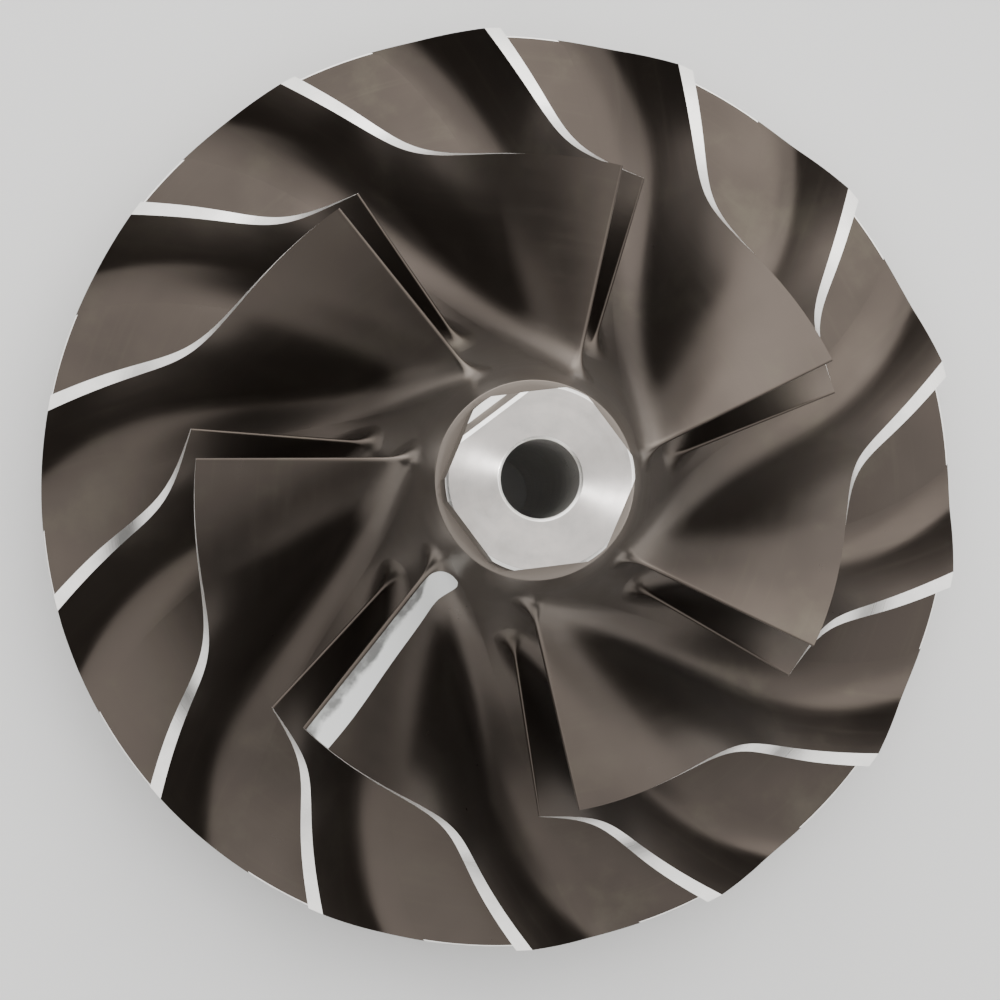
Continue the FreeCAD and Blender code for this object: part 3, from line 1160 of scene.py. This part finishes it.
@dataclass
class Hub:
    """Turned hub and disc with the bore, the nose's six flats and the balance cut."""

    name: str = "wheel_hub"
    path: FlowPath = field(default_factory=FlowPath)
    overall_height: float = 45.3
    rim_thickness: float = 1.3
    back_flat_radius: float = 33.0
    back_boss_radius: float = 12.0
    back_boss_step: float = 1.2
    bore_radius: float = 3.325
    bore_chamfer: float = 0.27
    nose_radius: float = 8.0
    nose_face_radius: float = 7.7
    nose_crown: float = 0.3
    flats_across: float = 14.7
    flats_turn: float = 7.0
    balance_turn: float = 127.0
    balance_steps: tuple = ((6.41, 0.0), (6.76, -0.20), (7.30, -1.0), (9.5, -1.35))
    edge_break: float = 0.12
    bare_rim: float = 0.15
    bare_nose: float = 3.2
    arc_steps: int = 110
    divisions: int = 288

    def profile(self) -> list[tuple[float, float]]:
        """Closed profile of the blank, from the bore's back mouth round to it again.

        Returns:
            Radius and height of each point.
        """
        path = self.path
        top, back = self.overall_height, path.disc_front - self.rim_thickness
        mouth, broken = self.bore_radius + self.bore_chamfer, self.edge_break
        under = rounded([(self.bore_radius, self.bore_chamfer, 0), (mouth, 0, 0),
                         (self.back_boss_radius, 0, 0.3),
                         (self.back_boss_radius, self.back_boss_step, 0.3),
                         (self.back_flat_radius, back, 3.0),
                         (path.rim_radius, back, broken),
                         (path.rim_radius, path.disc_front, broken),
                         (path.rim_radius - 1.0, path.disc_front, 0)])[:-1]
        arc = [tuple(float(v) for v in path.hub(s))
               for s in np.linspace(1, 0, self.arc_steps + 1)
               if float(path.hub(s)[0]) < path.rim_radius - 1.5 * broken]
        nose = rounded([(path.hub_radius, path.start_level, 0),
                        (path.ledge_radius, path.ledge_level, 0.12),
                        (self.nose_radius, path.ledge_level, 0),
                        (self.nose_radius, top - self.nose_crown, 0.06),
                        (self.nose_face_radius, top, 0.05), (mouth, top, 0.04),
                        (self.bore_radius, top - self.bore_chamfer, 0.04),
                        (self.bore_radius, top - 2.0, 0)])[1:]
        return under + arc + nose

    def flats_cutter(self) -> bpy.types.Object:
        """Ring with a six-sided hole, which takes the flats off the nose."""
        work = bmesh.new()
        outside, corner = self.nose_radius * 2, self.flats_across / math.sqrt(3)
        level, top = self.path.ledge_level, self.overall_height + 2
        rings = []
        turns = [math.radians(self.flats_turn + 60 * k) for k in range(6)]
        for radius in (corner, outside):
            for height in (level, top):
                rings.append([work.verts.new((radius * math.cos(turn) * MM,
                                              radius * math.sin(turn) * MM, height * MM))
                              for turn in turns])
        low_in, high_in, low_out, high_out = rings
        for k in range(6):
            n = (k + 1) % 6
            for a, b in ((low_in, high_in), (high_in, high_out), (high_out, low_out),
                         (low_out, low_in)):
                work.faces.new((a[k], a[n], b[n], b[k]))
        return new_object("flats_cutter", settle(work, bpy.data.meshes.new("flats_cutter")))

    def balance_cutter(self) -> bpy.types.Object:
        """Bar whose underside follows the steps ground into one corner of the nose."""
        half, high = self.nose_radius, self.overall_height + 2
        outline = [(r, self.overall_height + z) for r, z in self.balance_steps]
        first = outline[0]
        outline = ([(first[0] - 2.0, high), (first[0] - 2.0, first[1] + 1.2)]
                   + outline + [(outline[-1][0], high)])
        spin = Matrix.Rotation(math.radians(self.balance_turn), 3, "Z")
        work = bmesh.new()
        ends = [[work.verts.new(spin @ Vector((r, side * half, z)) * MM) for r, z in outline]
                for side in (-1, 1)]
        for end in ends:
            work.faces.new(end)
        for k in range(len(outline)):
            n = (k + 1) % len(outline)
            work.faces.new((ends[0][k], ends[0][n], ends[1][n], ends[1][k]))
        return new_object("balance_cutter",
                          settle(work, bpy.data.meshes.new("balance_cutter")))

    def surface_of(self, centre: Vector, normal: Vector) -> Surface:
        """Finish of a face of the hub.

        Args:
            centre: Centre of the face in metres.
            normal: Direction the face looks in.

        Returns:
            The kind of surface there.
        """
        radius, level = math.hypot(centre.x, centre.y) / MM, centre.z / MM
        path, top = self.path, self.overall_height
        if level > top - 0.03 and normal.z > 0.9:
            return Surface.FACE
        # Near the nose top only faces looking mostly upwards stay bare; steeper ground faces,
        # such as the balance cut's slope, take the dark film as painted shade.
        bare = (normal.z > 0.6 and level > top - self.bare_nose
                and level > path.ledge_level + 0.3
                or radius < self.bore_radius + self.bore_chamfer
                or radius > path.rim_radius - self.bare_rim
                or level < path.disc_front - 0.05 and normal.z < 0.1)
        return Surface.TURNED if bare else Surface.FLANK

    def build(self, turning: Turning, finishes: Finishes) -> bpy.types.Object:
        """Turn the blank, cut the flats and the balance cut, and dress the faces.

        Args:
            turning: The tree that turns a profile.
            finishes: The wheel's materials.

        Returns:
            The finished hub.
        """
        piece = turning.apply(self.name, self.profile(), self.divisions,
                              finishes.by_surface[Surface.FLANK])
        for cutter in (self.flats_cutter(), self.balance_cutter()):
            modifier = piece.modifiers.new("cut", "BOOLEAN")
            modifier.operation = "DIFFERENCE"
            modifier.solver = "EXACT"
            modifier.object = cutter
            baked(piece)
            bpy.data.objects.remove(cutter)
        mesh = piece.data
        mesh.materials.clear()
        for surface in Surface:
            mesh.materials.append(finishes.by_surface[surface])
        for face in mesh.polygons:
            face.material_index = self.surface_of(face.center, face.normal).value
        self.lay_ways(mesh)
        shade(mesh, 20.0)
        return piece

    def lay_ways(self, mesh: bpy.types.Mesh) -> None:
        """Write the map that follows the turning: metres round the axis and along it."""
        layer = mesh.uv_layers.get("flow") or mesh.uv_layers.new(name="flow")
        for loop in mesh.loops:
            at = mesh.vertices[loop.vertex_index].co
            radius = math.hypot(at.x, at.y)
            layer.data[loop.index].uv = (math.atan2(at.y, at.x) * 0.02, radius - at.z)


@dataclass
class Wheel:
    """The whole wheel: hub, full blades and splitters."""

    blade_pairs: int = 7
    first_turn: float = 124.84
    splitter_turn: float = -26.6
    splitter_level: float = 27.1
    finishes: Finishes = field(default_factory=Finishes)

    def build(self) -> list[bpy.types.Object]:
        """Build the three pieces and seat them on the frame.

        Returns:
            The pieces.
        """
        path = FlowPath()
        hub = Hub().build(Turning(), self.finishes)
        ring = BladeRing()
        full = Blade("full_blades", path.inlet_level)
        splitter = Blade("splitter_blades", self.splitter_level, root_fillet=2.2)
        mark = PaintMark()
        marked_turn = self.first_turn + mark.blade_number * 360 / self.blade_pairs
        pieces = [hub, mark.build(full, marked_turn, self.finishes)]
        for blade, turn in ((full, self.first_turn),
                            (splitter, self.first_turn + self.splitter_turn)):
            piece = new_object(blade.name, blade.mesh())
            piece.data.materials.append(self.finishes.by_surface[Surface.FLANK])
            ring.apply(piece, self.blade_pairs, turn, self.finishes)
            pieces.append(piece)
        for piece in pieces:
            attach(piece, BODY)
            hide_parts(NODE)
            LOG.info("%s: %d faces", piece.name, len(piece.data.polygons))
        return pieces


# --------------------------------------------------------------------------- studio


def hang(lamp: bpy.types.Light, place: Sequence[float], aim: Sequence[float]) -> None:
    """Put a lamp into the scene.

    Args:
        lamp: The lamp.
        place: Where it hangs, in millimetres.
        aim: Point that it looks at, in millimetres.
    """
    light = bpy.data.objects.new(lamp.name, lamp)
    light.location = Vector(place) * MM
    way = Vector(aim) * MM - light.location
    light.rotation_euler = way.to_track_quat("-Z", "Y").to_euler()
    bpy.context.scene.collection.objects.link(light)


@dataclass
class Softbox:
    """A plain rectangular studio light aimed at a point."""

    name: str
    place: tuple[float, float, float]
    size: tuple[float, float]
    power: float
    colour: tuple[float, float, float] = (1.0, 1.0, 1.0)
    aim: tuple[float, float, float] = (0.0, 0.0, 20.0)

    def build(self) -> None:
        """Hang the light."""
        lamp = bpy.data.lights.new(self.name, "AREA")
        lamp.shape = "RECTANGLE"
        lamp.size, lamp.size_y = (side * MM for side in self.size)
        lamp.energy = self.power
        lamp.color = self.colour
        hang(lamp, self.place, self.aim)


@dataclass
class Snoot:
    """A narrow lamp that lights only the nose, to draw the rays on its faced end."""

    name: str
    place: tuple[float, float, float]
    power: float
    aim: tuple[float, float, float] = (0.0, 0.0, 41.4)
    cone: float = 0.88
    soft_share: float = 0.4
    bulb: float = 2.0

    def build(self) -> None:
        """Hang the lamp."""
        lamp = bpy.data.lights.new(self.name, "SPOT")
        lamp.energy = self.power
        lamp.spot_size = math.radians(self.cone)
        lamp.spot_blend = self.soft_share
        lamp.shadow_soft_size = self.bulb * MM
        hang(lamp, self.place, self.aim)


@dataclass
class Camera:
    """The camera above the nose, a few degrees off the axis."""

    distance: float = 448.0
    aside: tuple[float, float] = (0.12, -0.90)
    tip: float = -1.36
    pan: float = 5.40
    level: float = 8.0
    lens: float = 177.05

    def build(self) -> None:
        """Place the camera and make it the scene's."""
        turn = (Matrix.Rotation(math.radians(self.tip), 3, "X")
                @ Matrix.Rotation(math.radians(self.pan), 3, "Y"))
        back = turn.transposed()
        eye = back @ Vector((*self.aside, self.distance)) + Vector((0, 0, self.level))
        data = bpy.data.cameras.new("camera")
        data.lens = self.lens
        data.sensor_width = 36.0
        data.clip_start, data.clip_end = 0.01, 10.0
        camera = bpy.data.objects.new("camera", data)
        camera.matrix_world = Matrix.Translation(eye * MM) @ back.to_4x4()
        bpy.context.scene.collection.objects.link(camera)
        bpy.context.scene.camera = camera


@dataclass
class Studio:
    """Pale floor, soft surroundings, lights and the camera."""

    floor_side: float = 3000.0
    sky: tuple[float, float, float] = (1.0, 0.995, 0.985)
    sky_level: float = 1.66
    bright_side: tuple[float, float, float] = (0.09, 0.94, 0.34)
    bright_share: float = 0.36
    panels: tuple = (((-0.95, -0.20, 0.24), (0.75, 0.93), -0.99),
                     ((0.47, -0.81, -0.34), (0.64, 0.83), -0.95),
                     ((0.91, -0.33, 0.26), (0.89, 0.98), -0.80),
                     ((-0.37, 0.92, 0.09), (0.72, 0.92), 0.60))
    lights: tuple = (
        Softbox("key_light", (400, 750, 800), (1100, 1100), 5.0, (1.0, 0.98, 0.92)),
        Snoot("nose_light", (730, -155, 520), 60.0),
    )

    def surroundings(self) -> None:
        """Make the soft room: brighter on one side, with dark and light panels round it."""
        world = bpy.data.worlds.new("studio")
        world.use_nodes = True
        graph = Graph(world.node_tree)
        way = graph.node("ShaderNodeTexCoord").outputs["Generated"]

        def towards(aim: tuple[float, float, float]) -> Term:
            """Cosine of the angle between a direction and the aim."""
            dot = graph.node("ShaderNodeVectorMath", {"operation": "DOT_PRODUCT"},
                             {0: way, 1: Vector(aim).normalized()})
            return graph.term(dot.outputs["Value"])

        level = (1.0 + towards(self.bright_side) * self.bright_share) * self.sky_level
        for aim, edges, share in self.panels:
            level = level * (1.0 + towards(aim).between(*edges) * share)
        background = world.node_tree.nodes["Background"]
        background.inputs["Color"].default_value = (*self.sky, 1.0)
        graph.feed(background.inputs["Strength"], level)
        bpy.context.scene.world = world

    def build(self) -> None:
        """Set up everything round the wheel."""
        half = self.floor_side / 2 * MM
        mesh = bpy.data.meshes.new("floor")
        mesh.from_pydata([(-half, -half, 0), (half, -half, 0), (half, half, 0),
                          (-half, half, 0)], [], [(0, 1, 2, 3)])
        floor = new_object("floor", mesh)
        mesh.materials.append(PaleFloor().build())
        self.surroundings()
        for light in self.lights:
            light.build()
        Camera().build()


def main() -> None:
    """Load the frame, build the wheel and its studio, and report the pieces."""
    logging.basicConfig(level=logging.INFO, format="%(name)s: %(message)s")
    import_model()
    pieces = Wheel().build()
    Studio().build()
    LOG.info("dressed %s with %d pieces", NODE, len(pieces))


if __name__ == "__main__":
    main()
